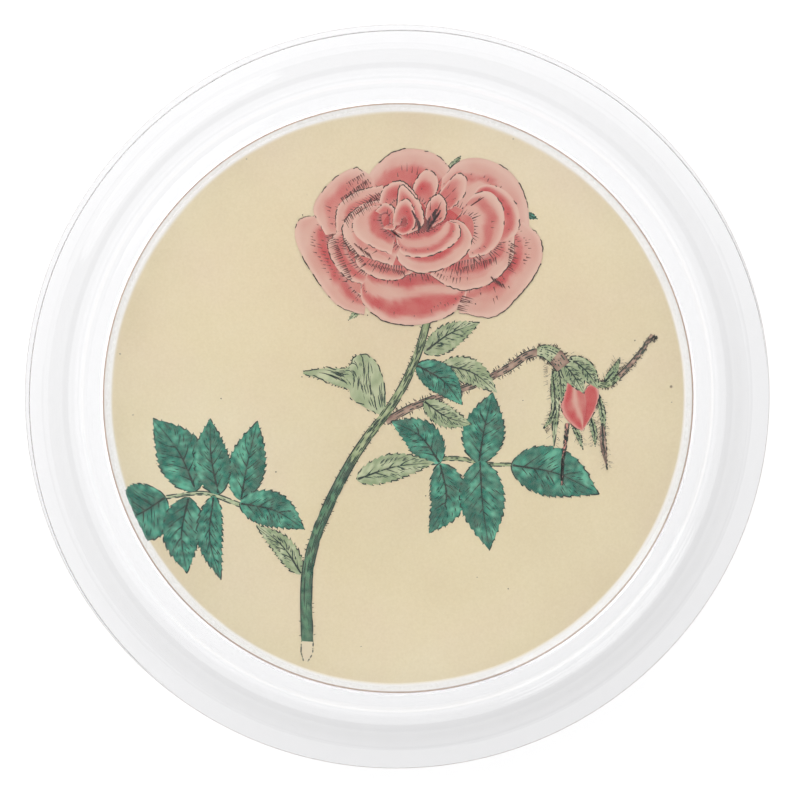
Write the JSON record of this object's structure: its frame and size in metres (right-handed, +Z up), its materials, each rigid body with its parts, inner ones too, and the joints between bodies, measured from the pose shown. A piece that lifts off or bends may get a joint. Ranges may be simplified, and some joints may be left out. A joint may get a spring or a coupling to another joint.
{
  "type": "powder jar",
  "caption": "Round clear glass powder jar: a lift-off lid with a raised rim and a rose print set under its window, over a bowl that holds loose powder and a ribboned puff.",
  "frame": {"origin": "middle of the jar's underside, on the surface it stands on", "axes": "+Z up along the jar's axis of turning; +Y towards the rose's head on the lid's print, +X to its right seen from above"},
  "size_m": [0.12, 0.12, 0.0625],
  "materials": {
    "clear_glass": "clear pressed glass, fire polished",
    "felt": "wool felt",
    "powder": "loose face powder, matt",
    "clear_adhesive": "clear adhesive film",
    "print_paper": "aged cream paper, hand-coloured engraving",
    "card": "white card",
    "liner": "opal white disc, satin gloss",
    "wadding": "cotton wadding",
    "velour": "cotton velour pile",
    "satin": "satin weave",
    "piping": "twisted satin cord",
    "ribbon": "satin ribbon"
  },
  "bodies": {
    "jar": {"jar_bowl": "clear_glass", "base_pad": "felt", "powder_fill": "powder"},
    "lid": {"lid_glass": "clear_glass", "glue_film": "clear_adhesive", "rose_print": "print_paper", "backing_card": "card", "lid_liner": "liner"},
    "puff": {"puff_pile": "velour", "puff_wadding": "wadding", "puff_cover": "satin", "puff_piping": "piping", "puff_ribbon": "ribbon"}
  },
  "joints": [
    {"name": "lid_lift", "type": "slide", "parent": "jar", "child": "lid", "axis": [0, 0, 1], "range_m": [0, 0.09]},
    {"name": "puff_lift", "type": "slide", "parent": "jar", "child": "puff", "axis": [0, 0, 1], "range_m": [0, 0.045]}
  ],
  "couplings": [
    {"joint": "puff_lift", "follows": "lid_lift", "ratio": 0.5}
  ]
}
